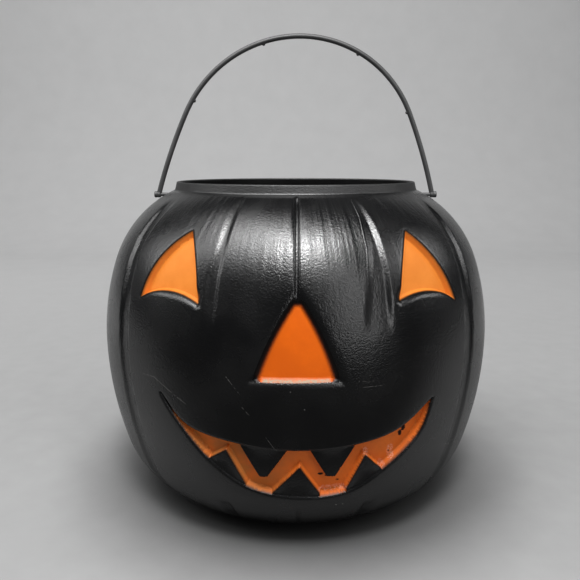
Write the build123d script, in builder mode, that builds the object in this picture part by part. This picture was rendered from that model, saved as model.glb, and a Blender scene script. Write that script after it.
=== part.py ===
"""Blow-moulded pumpkin candy pail with a painted face and a swinging bail handle.

Millimetres, +Z up, the origin under the middle of the base, the face looking towards -Y.
"""

import os
from collections import namedtuple
from math import asin, atan2, cos, degrees, radians, sin, sqrt

from build123d import *

# Body of the pail
belly_radius = 108.0
belly_height = 88.0
upper_belly_fall_share = 0.1852
upper_belly_climb_share = 0.549
lower_belly_fall_share = 0.158
lower_belly_climb_share = 0.611
rim_height = 172.5
neck_height = 4.4
neck_base_radius = 67.6
neck_draft = 0.9
foot_radius = 58.0
foot_width = 9.0
base_rise = 5.0
wall = 1.6

# Channels between the lobes, azimuth in degrees from the middle of the face
channel_width = 7.0
channel_depth = 1.2
crease_width = 2.8
crease_depth = 1.0
inner_channel_azimuth = 21.5
outer_channel_azimuth = 51.0
side_channel_azimuth = 90.0
channel_neck_gap = 2.2
crease_neck_gap = 0.9
channel_foot_gap = 8.0
brow_channel_end = 108.0
chin_channel_start = 27.0
side_channel_drop = 24.5

# Eyes, seen from the front: distance from the middle and drop below the rim, mirrored
eye_apex = (48.9, 21.7)
eye_outer_corner = (73.9, 53.5)
eye_inner_corner = (43.8, 51.2)
eye_brow_bow = 3.6
eye_cheek_bow = 4.7
eye_depth = 3.0

# Nose
nose_base = 90.2
nose_height = 34.3
nose_half_width = 17.0
nose_bow = 2.0
nose_rounding = 1.5
nose_depth = 3.5

# Mouth: a crescent with two upper and three lower teeth standing in it
smile_tip = (62.2, 77.0)
smile_top_break = (47.7, 65.1)
smile_top_centre = 58.8
smile_low_break = (40.0, 46.8)
smile_low_centre = 33.0
tooth_depth = 1.0
mouth_depth = 4.2
upper_tooth_inner = (5.0, 58.9)
upper_tooth_outer = (25.9, 60.0)
upper_tooth_tip = (13.8, 44.2)
upper_tooth_tip_width = 3.2
middle_tooth_foot = (11.0, 34.0)
middle_tooth_tip = 51.5
side_tooth_inner = (23.3, 37.3)
side_tooth_tip = (31.5, 56.2)
side_tooth_outer = (39.7, 46.6)

# Paint films in the recesses
paint_thickness = 0.4
paint_gap = 0.1

# Bail handle and its snap-in pivots
pivot_drop = 7.6
bail_lift = 16.7
bail_tuck = 9.8
bail_arch_half_angle = 66.0
rod_radius = 1.4
rod_setback = 1.1
knob_radius = 1.75
knob_length = 3.6
knob_gap = 0.6
pin_radius = 1.0
pin_clearance = 0.08
barb_radius = 1.6
barb_length = 4.0
barb_tip_radius = 0.6
barb_gap = 0.6
nub_angles = (-59.0, -17.0, 28.5, 65.0)
nub_radius = 0.7
nub_height = 0.7

# Distances by which cutting tools pass the surfaces that they cut
cut_margin = 12.0
channel_margin = 1.0

# Sizes that follow from those above
neck_base = Vector(neck_base_radius, rim_height - neck_height)
rim_radius = neck_base_radius - neck_draft
foot = Vector(foot_radius, 0)
foot_inner_radius = foot_radius - foot_width
nose_apex = (0, nose_base + nose_height)
pivot_height = rim_height - pivot_drop
reach = belly_radius + cut_margin
forward = (0, -1, 0)

# An arc of the body's side: angles in degrees, 0 pointing straight out
SideArc = namedtuple("SideArc", "centre radius first last")


def point_on(arc, angle, inset=0):
    """The point of an arc at an angle, inset towards the arc's centre."""
    span = arc.radius - inset
    return arc.centre + Vector(span * cos(radians(angle)), span * sin(radians(angle)))


def angle_at(arc, height):
    """The angle at which an arc passes a height."""
    return degrees(asin((height - arc.centre.Y) / arc.radius))


def radius_at(arc, height, inset=0):
    """The body's radius at a height of one of its arcs."""
    return arc.centre.X + sqrt((arc.radius - inset) ** 2 - (height - arc.centre.Y) ** 2)


def belly_arc(fall, climb):
    """The arc that leaves the belly upright and passes through a point set in and up from it."""
    radius = (fall**2 + climb**2) / (2 * fall)
    return SideArc(Vector(belly_radius - radius, belly_height), radius, 0, degrees(asin(climb / radius)))


def arc_onward(arc, end):
    """The arc that carries another arc on, tangent to it, to an end point."""
    start = point_on(arc, arc.last)
    inward = (arc.centre - start).normalized()
    run = end - start
    radius = run.dot(run) / (2 * run.dot(inward))
    centre = start + inward * radius
    last = degrees(atan2(end.Y - centre.Y, end.X - centre.X))
    return SideArc(centre, radius, arc.last, last)


# The body's side in four tangent arcs, the inner two set by shares of the way to the neck and to the foot
upper_belly = belly_arc(
    upper_belly_fall_share * (belly_radius - neck_base_radius),
    upper_belly_climb_share * (neck_base.Y - belly_height),
)
shoulder = arc_onward(upper_belly, neck_base)
lower_belly = belly_arc(
    lower_belly_fall_share * (belly_radius - foot_radius),
    -lower_belly_climb_share * belly_height,
)
heel = arc_onward(lower_belly, foot)
side_arcs = (shoulder, upper_belly, lower_belly, heel)


def body_face(inset, top=rim_height):
    """Half section of the body, inset evenly from its outer face and closed on its axis."""
    inset_neck = point_on(shoulder, shoulder.last, inset)
    inset_foot = point_on(heel, heel.last, inset)
    foot_edge = Vector(foot_inner_radius, inset_foot.Y)
    rim = Vector(rim_radius - inset, top)
    dome = Vector(0, base_rise + inset)
    with BuildSketch(Plane.XZ) as section:
        with BuildLine():
            for arc in side_arcs:
                CenterArc(arc.centre, arc.radius - inset, arc.first, arc.last - arc.first)
            Line(inset_foot, foot_edge)
            TangentArc(dome, foot_edge, tangent=(1, 0))
            Polyline(dome, (0, top), rim, inset_neck)
        make_face()
    return section.sketch


def side_spans(top, bottom):
    """The stretches of the body's side between two heights: arc, first angle, last angle."""
    spans = []
    for arc in side_arcs:
        lowest, highest = sorted((point_on(arc, arc.first).Y, point_on(arc, arc.last).Y))
        high = min(top, highest)
        low = max(bottom, lowest)
        if high > low:
            spans.append((arc, angle_at(arc, high), angle_at(arc, low)))
    return spans


def channel(azimuth, width, depth, top, bottom, base=0):
    """A cutter that sinks a channel up the body's side, below a face inset by base."""
    spans = side_spans(top, bottom)
    head_arc, head_angle, _ = spans[0]
    tail_arc, _, tail_angle = spans[-1]
    insets = (base - channel_margin, base + depth)
    with BuildPart() as cutter:
        with BuildSketch(Plane.XZ):
            with BuildLine():
                for arc, first, last in spans:
                    for inset in insets:
                        CenterArc(arc.centre, arc.radius - inset, first, last - first)
                Line([point_on(head_arc, head_angle, inset) for inset in insets])
                Line([point_on(tail_arc, tail_angle, inset) for inset in insets])
            make_face()
        revolve(axis=Axis.Z, revolution_arc=degrees((width + 2 * base) / belly_radius))
    turn = degrees((width / 2 + base) / belly_radius)
    return cutter.part.rotate(Axis.Z, azimuth - 90 - turn)


def recess(outline, depth):
    """A cutter that sinks an outline, seen from the front, to a depth below the body's face."""
    with BuildPart() as cutter:
        extrude(outline, amount=reach, dir=forward)
        revolve(body_face(depth), axis=Axis.Z, mode=Mode.SUBTRACT)
    return cutter.part


def grown(outline, amount):
    """An outline seen from the front, grown or shrunk evenly."""
    with BuildSketch(Plane.XZ) as sketch:
        add(outline)
        offset(amount=amount)
    return sketch.sketch


def paint_film(outline, depth):
    """A film of paint lying on the floor of a recess."""
    with BuildPart() as film:
        extrude(grown(outline, -paint_gap), amount=reach, dir=forward)
        revolve(body_face(depth - paint_gap - paint_thickness), axis=Axis.Z, mode=Mode.INTERSECT)
        revolve(body_face(depth - paint_gap), axis=Axis.Z, mode=Mode.SUBTRACT)
    return film.part


# Outlines of the face
with BuildSketch(Plane.XZ) as right_eye_outline:
    eye_corners = [(x, rim_height - drop) for x, drop in (eye_apex, eye_outer_corner, eye_inner_corner)]
    with BuildLine():
        SagittaArc(eye_corners[0], eye_corners[1], eye_brow_bow)
        SagittaArc(eye_corners[1], eye_corners[2], -eye_cheek_bow)
        Line(eye_corners[2], eye_corners[0])
    make_face()

with BuildSketch(Plane.XZ) as left_eye_outline:
    add(right_eye_outline.sketch_local)
    mirror(about=Plane.YZ, mode=Mode.REPLACE)

with BuildSketch(Plane.XZ) as nose_outline:
    with BuildLine():
        SagittaArc(nose_apex, (nose_half_width, nose_base), nose_bow)
        SagittaArc(nose_apex, (-nose_half_width, nose_base), -nose_bow)
        Line((nose_half_width, nose_base), (-nose_half_width, nose_base))
    make_face()
    fillet(nose_outline.vertices(), radius=nose_rounding)

with BuildSketch(Plane.XZ) as smile_outline:
    with BuildLine():
        upper_lip = TangentArc((0, smile_top_centre), smile_top_break, tangent=(1, 0))
        lower_lip = TangentArc((0, smile_low_centre), smile_low_break, tangent=(1, 0))
        TangentArc(smile_top_break, smile_tip, tangent=upper_lip % 1)
        TangentArc(smile_low_break, smile_tip, tangent=lower_lip % 1)
        mirror(about=Plane.YZ)
    make_face()

with BuildSketch(Plane.XZ) as teeth_outline:
    with BuildLine():
        Polyline(
            (upper_tooth_inner[0], smile_tip[1]),
            upper_tooth_inner,
            upper_tooth_tip,
            (upper_tooth_tip[0] + upper_tooth_tip_width, upper_tooth_tip[1]),
            upper_tooth_outer,
            (upper_tooth_outer[0], smile_tip[1]),
            close=True,
        )
    make_face()
    with BuildLine():
        Polyline(
            (side_tooth_inner[0], 0),
            side_tooth_inner,
            side_tooth_tip,
            side_tooth_outer,
            (side_tooth_outer[0], 0),
            close=True,
        )
    make_face()
    with BuildLine():
        Polyline(
            (0, 0),
            (0, middle_tooth_tip),
            middle_tooth_foot,
            (middle_tooth_foot[0], 0),
            close=True,
        )
    make_face()
    mirror(about=Plane.YZ)

with BuildSketch(Plane.XZ) as mouth_outline:
    add(smile_outline.sketch_local)
    add(teeth_outline.sketch_local, mode=Mode.SUBTRACT)

# Recesses with the depth of their floors, and what the wall bulges inward for behind them
small_recesses = (
    (right_eye_outline.sketch, eye_depth),
    (left_eye_outline.sketch, eye_depth),
    (nose_outline.sketch, nose_depth),
)
recesses = (
    *small_recesses,
    (smile_outline.sketch, tooth_depth),
    (mouth_outline.sketch, mouth_depth),
)
bulges = (*small_recesses, (smile_outline.sketch, mouth_depth))

# Every channel: azimuth, width at the belly, depth, top, bottom
channel_top = neck_base.Y - channel_neck_gap
crease_top = neck_base.Y - crease_neck_gap
wide = (channel_width, channel_depth)
narrow = (crease_width, crease_depth)
channels = [
    (0, *narrow, crease_top, nose_apex[1]),
    (0, *narrow, chin_channel_start, channel_foot_gap),
    (180, *narrow, crease_top, channel_foot_gap),
]
for side in (1, -1):
    channels += [
        (side * inner_channel_azimuth, *wide, channel_top, brow_channel_end),
        (side * inner_channel_azimuth, *wide, chin_channel_start, channel_foot_gap),
        (side * outer_channel_azimuth, *wide, channel_top, channel_foot_gap),
        (side * side_channel_azimuth, *wide, rim_height - side_channel_drop, channel_foot_gap),
        (side * (180 - outer_channel_azimuth), *wide, channel_top, channel_foot_gap),
        (side * (180 - inner_channel_azimuth), *wide, channel_top, channel_foot_gap),
    ]

# The hollow inside, with the wall's thickness kept behind each recess and channel
with BuildPart() as hollow:
    revolve(body_face(wall, rim_height + cut_margin), axis=Axis.Z)
    backs = [recess(grown(outline, wall), depth + wall) for outline, depth in bulges]
    backs += [channel(*row, base=wall) for row in channels]
    add(backs, mode=Mode.SUBTRACT)

# Blow-moulded shell
with BuildPart() as pail_shell:
    revolve(body_face(0), axis=Axis.Z)
    add(hollow.part, mode=Mode.SUBTRACT)
    cuts = [channel(*row) for row in channels]
    cuts += [recess(outline, depth) for outline, depth in recesses]
    add(cuts, mode=Mode.SUBTRACT)
    with Locations(Location((0, 0, pivot_height), (0, 90, 0))):
        Cylinder(pin_radius + pin_clearance, 2 * reach, mode=Mode.SUBTRACT)

# Bail handle: an arched rod with a knob, a pivot pin and a snap-in barb on each end
knob_face = radius_at(shoulder, pivot_height - knob_radius) + knob_gap
barb_face = radius_at(shoulder, pivot_height + barb_radius, wall) - barb_gap
rod_foot = Vector(knob_face + rod_setback, pivot_height)
arch_centre = Vector(0, pivot_height + bail_lift)
crown = SideArc(arch_centre, rod_foot.X - bail_tuck, 90, 90 - bail_arch_half_angle)
leg = arc_onward(crown, rod_foot)
with BuildPart() as bail_handle:
    with BuildLine(Plane.XZ) as right_half:
        CenterArc((leg.centre.X, leg.centre.Y), leg.radius, leg.last, leg.first - leg.last)
        CenterArc((0, arch_centre.Y), crown.radius, crown.last, crown.first - crown.last)
    with BuildSketch(Plane(right_half.line @ 0, z_dir=right_half.line % 0)):
        Circle(rod_radius)
    sweep()
    with BuildSketch(Plane((0, 0, pivot_height))):
        with BuildLine():
            Polyline(
                (barb_face - barb_length, 0),
                (barb_face - barb_length, barb_tip_radius),
                (barb_face, barb_radius),
                (barb_face, pin_radius),
                (knob_face, pin_radius),
                (knob_face, knob_radius),
                (knob_face + knob_length, knob_radius),
                (knob_face + knob_length, 0),
                close=True,
            )
        make_face()
    revolve(axis=Axis((0, 0, pivot_height), (1, 0, 0)))
    mirror(about=Plane.YZ)
    for angle in nub_angles:
        spoke = Vector(sin(radians(angle)), 0, cos(radians(angle)))
        seat = Vector(0, 0, arch_centre.Y) + spoke * (crown.radius - rod_radius)
        with Locations(Plane(seat, z_dir=spoke)):
            Cylinder(nub_radius, 2 * nub_height)

# Paint in the recesses
right_eye_film = paint_film(right_eye_outline.sketch, eye_depth)
left_eye_film = paint_film(left_eye_outline.sketch, eye_depth)
nose_film = paint_film(nose_outline.sketch, nose_depth)
mouth_film = paint_film(mouth_outline.sketch, mouth_depth)

# Finished pieces
pieces = {
    "pail_shell": pail_shell.part,
    "bail_handle": bail_handle.part,
    "right_eye_paint": right_eye_film,
    "left_eye_paint": left_eye_film,
    "nose_paint": nose_film,
    "mouth_paint": mouth_film,
}
os.makedirs("parts", exist_ok=True)
for name, piece in pieces.items():
    piece.label = name
    export_step(piece, f"parts/{name}.step")
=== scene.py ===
"""Looks of the pumpkin candy pail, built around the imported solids.

The object's lengths are in millimetres and become metres where a mesh is made. Lamps and the places
and bumps in materials are in metres. The face looks towards -Y. Azimuth is 0 in its middle and grows
towards +X.
"""

from collections import namedtuple
from functools import partial, partialmethod
from math import asin, atan2, cos, degrees, pi, radians, sin, sqrt

import bpy
import numpy as np
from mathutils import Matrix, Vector
from mathutils.geometry import delaunay_2d_cdt


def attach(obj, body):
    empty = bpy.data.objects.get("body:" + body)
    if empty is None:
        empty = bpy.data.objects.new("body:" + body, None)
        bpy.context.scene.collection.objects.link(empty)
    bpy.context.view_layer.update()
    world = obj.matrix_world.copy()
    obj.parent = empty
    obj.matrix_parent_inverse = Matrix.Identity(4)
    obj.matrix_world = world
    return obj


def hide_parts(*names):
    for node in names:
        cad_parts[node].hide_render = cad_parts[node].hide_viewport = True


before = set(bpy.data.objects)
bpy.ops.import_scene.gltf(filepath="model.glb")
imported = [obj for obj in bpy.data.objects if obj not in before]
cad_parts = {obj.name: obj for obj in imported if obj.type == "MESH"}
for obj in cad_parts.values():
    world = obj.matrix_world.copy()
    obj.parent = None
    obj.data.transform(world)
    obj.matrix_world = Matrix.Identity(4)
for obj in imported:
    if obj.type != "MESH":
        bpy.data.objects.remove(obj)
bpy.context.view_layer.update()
scene = bpy.context.scene
MM = 0.001

# Body of the pail
belly_radius = 108.0
belly_height = 88.0
upper_belly_fall_share = 0.1852
upper_belly_climb_share = 0.549
lower_belly_fall_share = 0.158
lower_belly_climb_share = 0.611
rim_height = 172.5
neck_height = 4.4
neck_base_radius = 67.6
neck_draft = 0.9
foot_radius = 58.0
foot_width = 9.0
base_rise = 5.0
wall = 1.6
rim_rounding = 0.8
neck_cove = 0.4

# Valleys beside the middle lobe: azimuths of both edges, in degrees, at heights in millimetres
Valley = namedtuple("Valley", "side heights inner outer inner_soft outer_soft depth")
valleys = (
    Valley(-1.0, (118, 134, 146, 167), (19.6, 19.6, 19.2, 19.2), (23.2, 23.4, 22.6, 22.4), 2.0, 2.3, 0.75),
    Valley(1.0, (100, 118, 138, 155, 167), (15.0, 15.6, 17.6, 19.6, 20.2),
           (23.2, 23.4, 23.9, 23.8, 22.8), 4.2, 2.9, 1.2),
)
valley_foot = (108.0, 126.0)
valley_head = (168.3, 163.0)

# Channels: azimuth at the foot, the belly and the neck, half width, edge softness, depth, ends
Channel = namedtuple("Channel", "azimuths half_width soft depth top bottom fade")
side_channels = (
    Channel((46, 51, 56), 2.2, 3.2, 1.2, 166, 9, 10),
    Channel((86, 90, 90), 2.0, 2.6, 1.3, 148, 9, 10),
    Channel((132, 129, 126), 2.2, 2.6, 1.4, 166, 9, 10),
    Channel((158, 158.5, 159), 2.2, 2.6, 1.4, 166, 9, 10),
)
chin_channel = Channel((21, 21, 21), 2.0, 2.6, 1.0, 28, 8, 7)
front_crease = Channel((-0.2, -0.2, -0.2), 0.5, 1.3, 1.2, 168, 122, 3)
chin_crease = Channel((0.5, 0.5, 0.5), 0.4, 1.2, 0.5, 27, 8, 6)
back_crease = Channel((180, 180, 180), 0.5, 1.3, 0.9, 167, 9, 4)
channel_heights = (0, belly_height, rim_height)

# Eyes seen from the front: apex, outer and inner corner, bows of the brow, the cheek and the inner side
Eye = namedtuple("Eye", "apex outer inner brow_bow cheek_bow inner_bow")
left_eye = Eye((-47.6, 152.3), (-72.9, 121.6), (-44.1, 122.6), 4.0, 4.4, 1.0)
right_eye = Eye((49.6, 152.2), (74.3, 119.8), (45.4, 124.0), 3.3, 4.4, 0.8)
# Walls and steps run from a distance outside an outline to one inside it, which is negative. The lip
# under an eye comes in between two heights and between two shares of the way to its outer corner.
eye_depth = 3.0
eye_roll = 2.0
eye_roll_depth = 0.35
cheek_roll = 3.4
cheek_roll_depth = 1.8
cheek_heights = (130.0, 125.0)
cheek_ends = (0.85, 0.4)
eye_wall = (0.25, -1.35)

# Nose: the painted floor, and the rim that the bare bevel falls from
nose_apex = (0.0, 125.2)
nose_corners = ((-16.5, 92.4), (15.2, 92.6))
nose_bow = 1.4
nose_apex_reach = 1.8
nose_rim_apex = (-0.1, 130.6)
nose_rim_corners = ((-20.2, 91.3), (18.9, 91.5))
nose_rim_bow = 1.6
nose_depth = 2.8
nose_roll = 3.0
nose_roll_depth = 0.9

# Mouth: upper and lower lip from the left tip to the right tip, then the teeth
upper_lip = ((-62.7, 79.3), (-50, 66), (-25, 60.7), (0.5, 58.9), (26, 60.4), (46, 65),
             (62.4, 76.6))
lower_lip = ((-62.7, 79.3), (-57.2, 70.4), (-40.3, 50.4), (-22, 37.4), (0.5, 33), (22.5, 34.7),
             (39.3, 44.5), (56.3, 60), (62.4, 76.6))
teeth = (
    ((-27.5, 66), (-25.5, 59.6), (-17.2, 43.8), (-13.8, 43.8), (-4.6, 58.6), (-3.6, 66)),
    ((4.8, 66), (5.7, 58.6), (13.3, 44.4), (17.1, 43.8), (25.7, 59.4), (27.5, 66)),
    ((-21, 26), (-23.6, 38.4), (-32.3, 56.8), (-40.6, 50.4), (-48, 40), (-40, 26)),
    ((-10, 26), (-11.8, 34.4), (1, 50), (10.5, 34.4), (9, 26)),
    ((22, 26), (22.9, 36.6), (30.8, 54.2), (39.3, 44.6), (46, 34), (40, 26)),
)
tooth_depth = 1.1
mouth_depth = 4.4
lip_roll = 1.9
lip_roll_depth = 0.3
lip_step = (0.7, -0.6)
mouth_wall = (0.15, -0.85)

# Inside of the shell: how far from a recess its bulge starts, and where it is full
bulge_reach = (7.0, 3.0)

# Paint: lift of its face and back off the shell, how far past an outline each film goes, how the
# spray fades across its edge, the nose's ledge with the fade of the painted highlight on it, and the
# ends of the mouth's spray near its tips
film_lift = 0.07
film_back = 0.015
eye_film_reach = 0.9
eye_spray = (0.8, -0.9)
nose_film_reach = 2.6
nose_spray = (2.3, -1.5)
mouth_film_reach = 0.3
mouth_spray = (0.3, -0.25)
ledge_margin = 0.3
ledge_highlight_fade = 1.8
mouth_paint_left = -57.3
mouth_paint_right = 61.2

# Handle
pivot_drop = 7.6
bail_lift = 16.7
bail_tuck = 9.8
bail_arch_half_angle = 66.0
rod_radius = 1.4
rod_setback = 1.1
knob_radius = 1.75
knob_length = 3.6
knob_gap = 0.6
knob_seam = 1.9
seam_half_width = 0.2
seam_depth = 0.12
pin_radius = 1.0
barb_radius = 1.6
barb_length = 4.0
barb_tip_radius = 0.6
barb_gap = 0.6
nub_angles = (-59.0, -17.0, 28.5, 65.0)
nub_radius = 0.75
nub_height = 0.7
handle_lean = 2.2

# Unrolled surface: s runs round the pail at this radius, t runs down its side from the neck's top.
# Distances count up to far_away. The face ends at a half angle, a t and a height.
unroll_radius = 100.0
far_away = 9.0
face_half_angle = 66.0
face_top = 6.0
face_foot_height = 7.0


# Curves and small helpers

def smooth(start, end, value):
    """0 before start, 1 after end, and a smooth step between them."""
    part = np.clip((value - start) / (end - start), 0.0, 1.0)
    return part * part * (3.0 - 2.0 * part)


def bowed_arc(start, end, bow, count=24):
    """Points of a shallow arc from start to end that bows to the left of its run."""
    start, end = np.array(start, float), np.array(end, float)
    chord = end - start
    side = np.array((-chord[1], chord[0])) / np.hypot(*chord)
    part = np.linspace(0.0, 1.0, count)[:, None]
    return start + chord * part + side * bow * 4.0 * part * (1.0 - part)


def spline(points, per_span=14):
    """A smooth curve through a few points."""
    p = np.array(points, float)
    p = np.vstack((2 * p[0] - p[1], p, 2 * p[-1] - p[-2]))
    u = np.linspace(0.0, 1.0, per_span, endpoint=False)[:, None]
    spans = []
    for a, b, c, d in zip(p, p[1:], p[2:], p[3:]):
        spans.append(0.5 * (2 * b + (c - a) * u + (2 * a - 5 * b + 4 * c - d) * u ** 2
                            + (3 * b - a - 3 * c + d) * u ** 3))
    return np.vstack(spans + [p[-2][None]])


def signed_distance(outline, points):
    """Distance of points from a closed outline, negative inside it."""
    a = outline
    b = np.roll(outline, -1, axis=0)
    run = b - a
    length2 = np.maximum((run ** 2).sum(1), 1e-12)
    result = np.empty(len(points))
    batch = 20000
    for first in range(0, len(points), batch):
        p = points[first:first + batch]
        ap = p[:, None] - a[None]
        part = np.clip((ap * run).sum(2) / length2, 0.0, 1.0)
        gap = np.sqrt(((ap - run * part[..., None]) ** 2).sum(2).min(1))
        crosses = (a[:, 1] > p[:, 1:2]) != (b[:, 1] > p[:, 1:2])
        rise = np.where(np.abs(run[:, 1]) < 1e-12, 1e-12, run[:, 1])
        reach = a[:, 0] + (p[:, 1:2] - a[:, 1]) * run[:, 0] / rise
        inside = (crosses & (p[:, 0:1] < reach)).sum(1) % 2 == 1
        result[first:first + batch] = np.where(inside, -gap, gap)
    return result


# Profile of the body

SideArc = namedtuple("SideArc", "centre radius first last")


def point_on(arc, angle, inset=0.0):
    turn = radians(angle)
    return np.array(arc.centre) + (arc.radius - inset) * np.array((cos(turn), sin(turn)))


def belly_arc(fall, climb):
    """The arc that leaves the belly upright and passes through a point set in and up from it."""
    radius = (fall ** 2 + climb ** 2) / (2.0 * fall)
    return SideArc((belly_radius - radius, belly_height), radius, 0.0, degrees(asin(climb / radius)))


def arc_onward(arc, end):
    """The arc that carries another arc on, tangent to it, to an end point."""
    start = point_on(arc, arc.last)
    inward = (np.array(arc.centre) - start) / arc.radius
    run = np.array(end) - start
    radius = run.dot(run) / (2.0 * run.dot(inward))
    centre = start + inward * radius
    last = degrees(atan2(end[1] - centre[1], end[0] - centre[0]))
    return SideArc(tuple(centre), radius, arc.last, last)


neck_base = (neck_base_radius, rim_height - neck_height)
rim_radius = neck_base_radius - neck_draft
upper_belly = belly_arc(upper_belly_fall_share * (belly_radius - neck_base_radius),
                        upper_belly_climb_share * (neck_base[1] - belly_height))
shoulder = arc_onward(upper_belly, neck_base)
lower_belly = belly_arc(lower_belly_fall_share * (belly_radius - foot_radius),
                        -lower_belly_climb_share * belly_height)
heel = arc_onward(lower_belly, (foot_radius, 0.0))


def arc_points(arc, first, last, inset=0.0, step=0.25):
    count = max(3, int(abs(last - first) * pi / 180.0 * arc.radius / step))
    return np.array([point_on(arc, angle, inset) for angle in np.linspace(first, last, count)])


def side_path(inset):
    """The body's side from the neck's base down to the foot."""
    return np.vstack((
        arc_points(shoulder, shoulder.last, shoulder.first, inset),
        arc_points(upper_belly, upper_belly.last, upper_belly.first, inset)[1:],
        arc_points(lower_belly, lower_belly.first, lower_belly.last, inset)[1:],
        arc_points(heel, heel.first, heel.last, inset)[1:],
    ))


def rounded(path, corner, reach):
    """A path whose corner is eased over a reach on both sides."""
    gap = np.hypot(*(path - corner).T)
    eased = path.copy()
    for _ in range(60):
        middle = 0.5 * (eased[:-2] + eased[2:])
        share = smooth(reach, 0.0, gap[1:-1])[:, None]
        eased[1:-1] += (middle - eased[1:-1]) * share
    return eased


neck_side = np.linspace((rim_radius, rim_height - rim_rounding), neck_base, 20)
outer_path = rounded(np.vstack((neck_side, side_path(0.0)[1:])), np.array(neck_base), neck_cove)
path_run = np.hypot(*np.diff(outer_path, axis=0).T)
path_t = np.concatenate(([0.0], np.cumsum(path_run)))
path_slope = np.gradient(outer_path, path_t, axis=0)
path_slope /= np.hypot(*path_slope.T)[:, None]
path_out = np.column_stack((-path_slope[:, 1], path_slope[:, 0]))
t_end = path_t[-1]


def along(values, t):
    return np.interp(t, path_t, values)


def t_at(z):
    """Place down the side of a height."""
    return np.interp(-np.asarray(z, float), -outer_path[:, 1], path_t)


def unrolled(outline):
    """An outline seen from the front, laid on the unrolled surface."""
    outline = np.asarray(outline, float)
    t = t_at(outline[:, 1])
    azimuth = np.arcsin(np.clip(outline[:, 0] / along(outer_path[:, 0], t), -1.0, 1.0))
    return np.column_stack((azimuth * unroll_radius, t))


# Outlines of the face on the unrolled surface

def eye_outline(eye):
    turn = 1.0 if eye.apex[0] > 0 else -1.0
    brow = bowed_arc(eye.apex, eye.outer, turn * eye.brow_bow)
    cheek = bowed_arc(eye.outer, eye.inner, -turn * eye.cheek_bow)
    inner_side = bowed_arc(eye.inner, eye.apex, turn * eye.inner_bow)
    return unrolled(np.vstack((brow[:-1], cheek[:-1], inner_side[:-1])))


def nose_outline(apex, corners, bow):
    left = bowed_arc(corners[0], apex, bow, 60)
    right = bowed_arc(apex, corners[1], bow, 60)
    sides = rounded(np.vstack((left[:-1], right)), np.array(apex), nose_apex_reach)
    return unrolled(np.vstack((sides, np.linspace(corners[1], corners[0], 16)[1:-1])))


eye_outlines = (eye_outline(left_eye), eye_outline(right_eye))
nose_floor = nose_outline(nose_apex, nose_corners, nose_bow)
nose_rim = nose_outline(nose_rim_apex, nose_rim_corners, nose_rim_bow)
smile = unrolled(np.vstack((spline(upper_lip), spline(lower_lip)[-2:0:-1])))
tooth_outlines = [unrolled(np.vstack([np.linspace(a, b, 8, endpoint=False)
                                      for a, b in zip(np.array(tooth), np.roll(tooth, -1, axis=0))]))
                  for tooth in teeth]
corner_points = np.vstack([unrolled(np.array(tooth)[1:-1]) for tooth in teeth])


def box_of(outline, margin):
    return outline.min(0) - margin, outline.max(0) + margin


def distance_to(outline, points):
    """Signed distance from an outline, worked out near it only."""
    result = np.full(len(points), far_away)
    low, high = box_of(outline, far_away)
    close = ((points > low) & (points < high)).all(1)
    if close.any():
        result[close] = signed_distance(outline, points[close])
    return result


def mouth_distance(points):
    """Signed distance from the edge of the mouth's deep floor, with the teeth left standing."""
    to_teeth = np.min([distance_to(outline, points) for outline in tooth_outlines], axis=0)
    return np.maximum(distance_to(smile, points), -to_teeth)


def nose_fall(points):
    """0 on the nose's rim and beyond, 1 on its floor."""
    inside = np.maximum(-distance_to(nose_rim, points), 0.0)
    outside = np.maximum(distance_to(nose_floor, points), 0.0)
    return inside / np.maximum(inside + outside, 1e-6)


# How far the surface lies below the plain turned body

def roll(distance, width, depth):
    """An edge that starts to round off at a width outside an outline."""
    part = np.clip((width - distance) / width, 0.0, 1.0)
    return depth * part ** 2.2


def channel_sink(channel, azimuth, radius, z, mirrored):
    """Depth of one channel, and of its mirror image on the other side if it has one."""
    middle = np.radians(np.interp(z, channel_heights, channel.azimuths))
    gap = np.abs((azimuth - middle + pi) % (2.0 * pi) - pi) * radius
    if mirrored:
        gap = np.minimum(gap, np.abs((azimuth + middle + pi) % (2.0 * pi) - pi) * radius)
    foot = smooth(channel.bottom, channel.bottom + channel.fade, z)
    head = smooth(channel.top, channel.top - channel.fade, z)
    across = smooth(channel.half_width + channel.soft, channel.half_width - 0.4, gap)
    return channel.depth * (foot * head) * across


def valley_sink(azimuth, radius, z):
    total = np.zeros(len(azimuth))
    ends = smooth(*valley_foot, z) * smooth(*valley_head, z)
    for valley in valleys:
        turn = np.degrees(azimuth) * valley.side
        inner = np.radians(turn - np.interp(z, valley.heights, valley.inner)) * radius
        outer = np.radians(np.interp(z, valley.heights, valley.outer) - turn) * radius
        cut = smooth(-0.4, valley.inner_soft, inner) * smooth(-0.5, valley.outer_soft, outer)
        total = np.maximum(total, valley.depth * ends * cut)
    return total


def body_sink(azimuth, t):
    radius, z = along(outer_path[:, 0], t), along(outer_path[:, 1], t)
    depths = [valley_sink(azimuth, radius, z)]
    pairs = side_channels + (chin_channel,)
    depths += [channel_sink(pair, azimuth, radius, z, True) for pair in pairs]
    creases = (front_crease, chin_crease, back_crease)
    depths += [channel_sink(crease, azimuth, radius, z, False) for crease in creases]
    return np.max(depths, axis=0)


def eye_sink(outline, points, height):
    """One eye's recess, with a rolled lip under its inner half."""
    gap = distance_to(outline, points)
    floor = smooth(*eye_wall, gap)
    reach = np.abs(outline[:, 0])
    outward = (np.abs(points[:, 0]) - reach.min()) / (reach.max() - reach.min())
    cheek = smooth(*cheek_heights, height) * smooth(*cheek_ends, outward)
    edge = roll(gap, eye_roll, eye_roll_depth) * (1.0 - cheek)
    edge += roll(gap, cheek_roll, cheek_roll_depth) * cheek
    return edge * (1.0 - floor) + eye_depth * floor


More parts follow.
